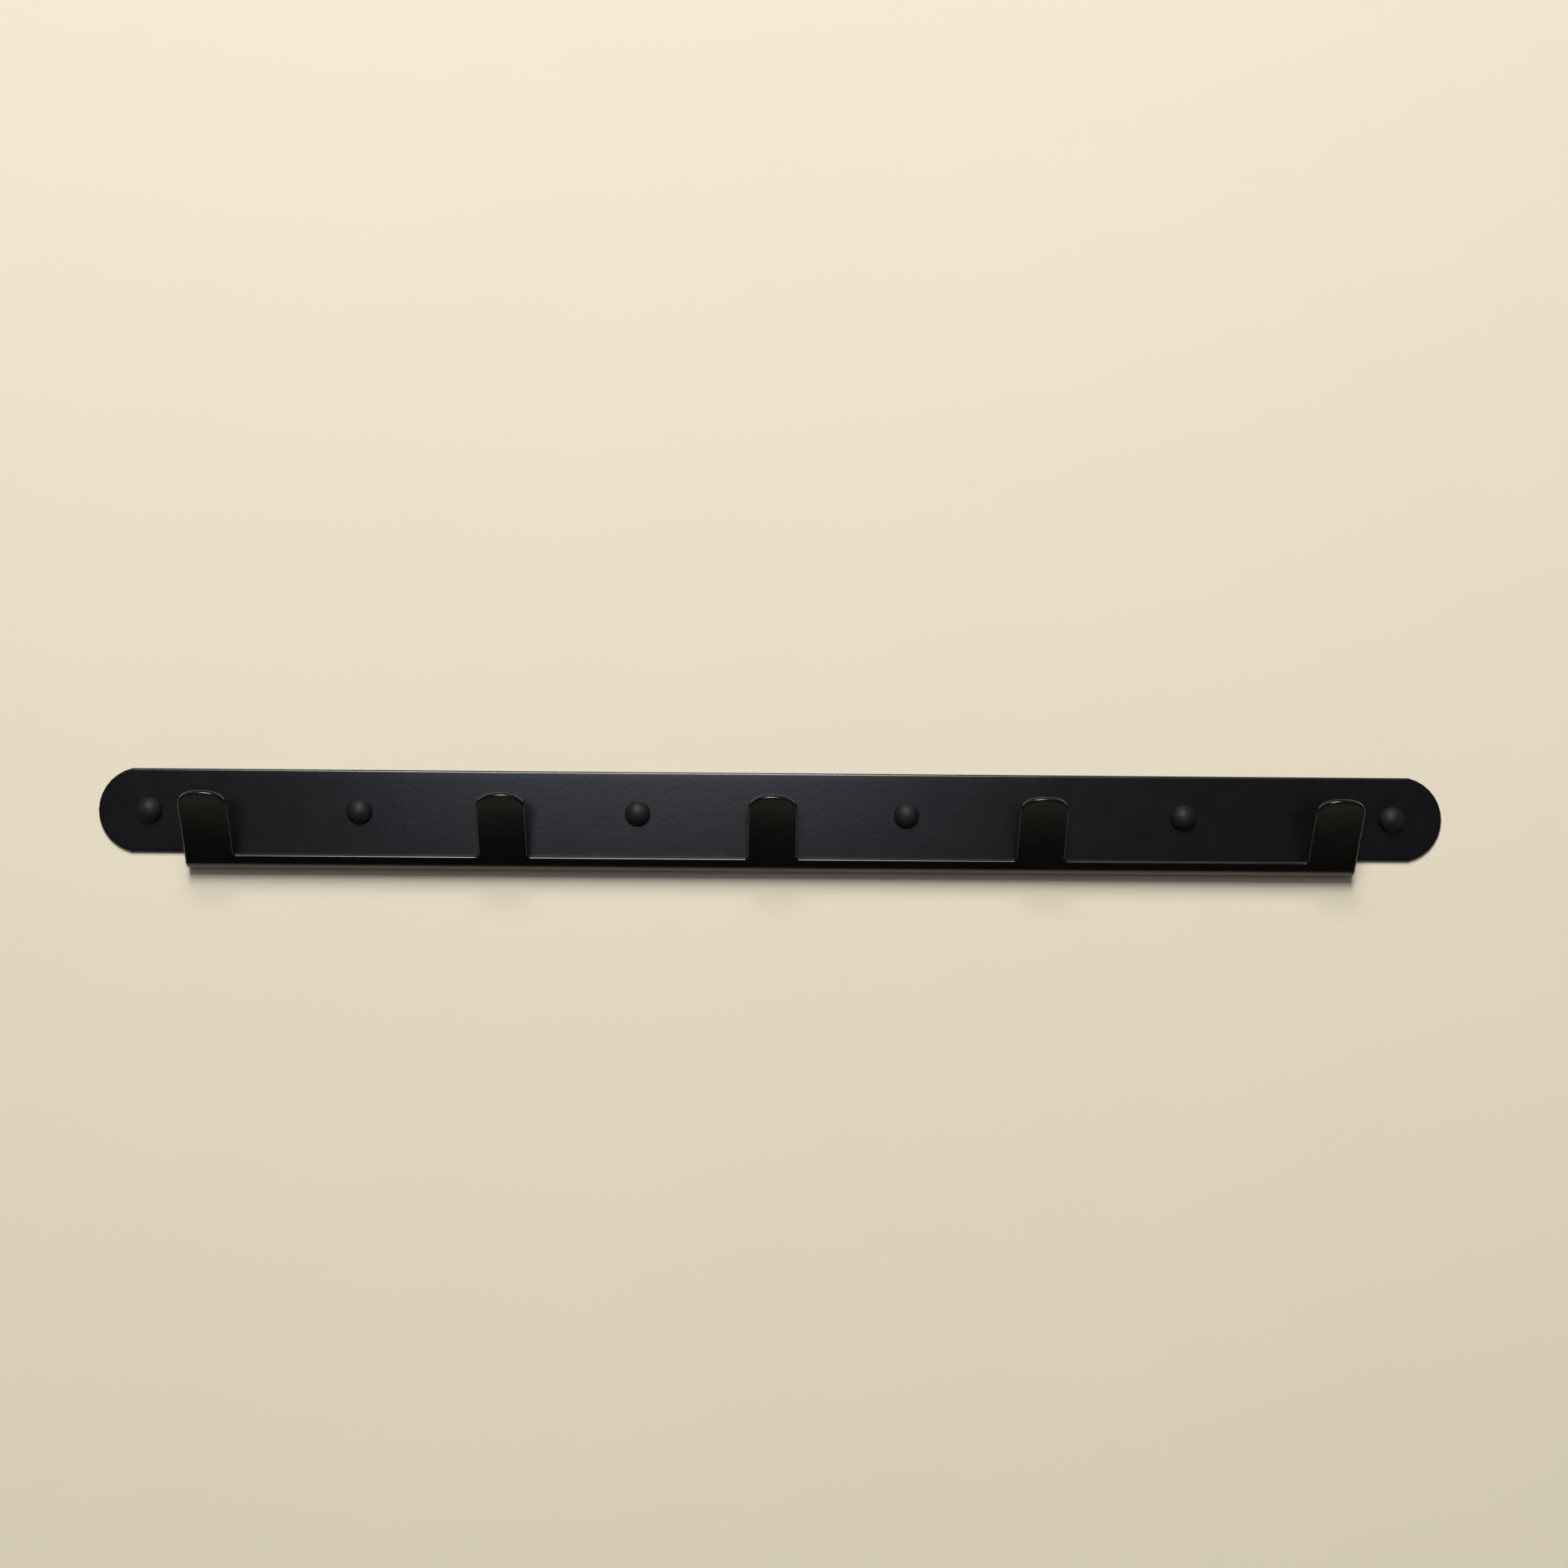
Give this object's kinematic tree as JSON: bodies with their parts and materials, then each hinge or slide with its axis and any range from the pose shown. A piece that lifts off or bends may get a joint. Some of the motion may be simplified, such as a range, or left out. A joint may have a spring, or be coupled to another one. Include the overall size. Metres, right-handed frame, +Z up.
{
  "type": "wall hook rail",
  "caption": "Low folded sheet-steel wall rail with wide round-topped hooks leaning out from its lower lip and push-on dome caps over its wall screws",
  "frame": {"origin": "middle of the rail's flat back face, which lies on the wall", "axes": "+X along the rail to the right as seen from the room, +Y straight into the wall, +Z up"},
  "size_m": [0.61, 0.0718, 0.0448],
  "materials": {
    "black_coat": "semi-gloss black powder coat with fine orange peel",
    "black_plastic": "moulded black nylon, slightly satin",
    "black_rubber": "matte black rubber",
    "zinc_steel": "bright zinc plate"
  },
  "bodies": {
    "rack": {"rail": "black_coat", "cap_base_1": "black_plastic", "wall_screw_1": "zinc_steel", "cap_base_2": "black_plastic", "wall_screw_2": "zinc_steel", "cap_base_3": "black_plastic", "wall_screw_3": "zinc_steel", "cap_base_4": "black_plastic", "wall_screw_4": "zinc_steel", "cap_base_5": "black_plastic", "wall_screw_5": "zinc_steel", "cap_base_6": "black_plastic", "wall_screw_6": "zinc_steel"},
    "cap_1": {"dome_cap_1": "black_rubber"},
    "cap_2": {"dome_cap_2": "black_rubber"},
    "cap_3": {"dome_cap_3": "black_rubber"},
    "cap_4": {"dome_cap_4": "black_rubber"},
    "cap_5": {"dome_cap_5": "black_rubber"},
    "cap_6": {"dome_cap_6": "black_rubber"}
  },
  "joints": [
    {"name": "cap_1_pull", "type": "slide", "parent": "rack", "child": "cap_1", "axis": [0, -1, 0], "range_m": [0, 0.008]},
    {"name": "cap_2_pull", "type": "slide", "parent": "rack", "child": "cap_2", "axis": [0, -1, 0], "range_m": [0, 0.008]},
    {"name": "cap_3_pull", "type": "slide", "parent": "rack", "child": "cap_3", "axis": [0, -1, 0], "range_m": [0, 0.008]},
    {"name": "cap_4_pull", "type": "slide", "parent": "rack", "child": "cap_4", "axis": [0, -1, 0], "range_m": [0, 0.008]},
    {"name": "cap_5_pull", "type": "slide", "parent": "rack", "child": "cap_5", "axis": [0, -1, 0], "range_m": [0, 0.008]},
    {"name": "cap_6_pull", "type": "slide", "parent": "rack", "child": "cap_6", "axis": [0, -1, 0], "range_m": [0, 0.008]}
  ]
}
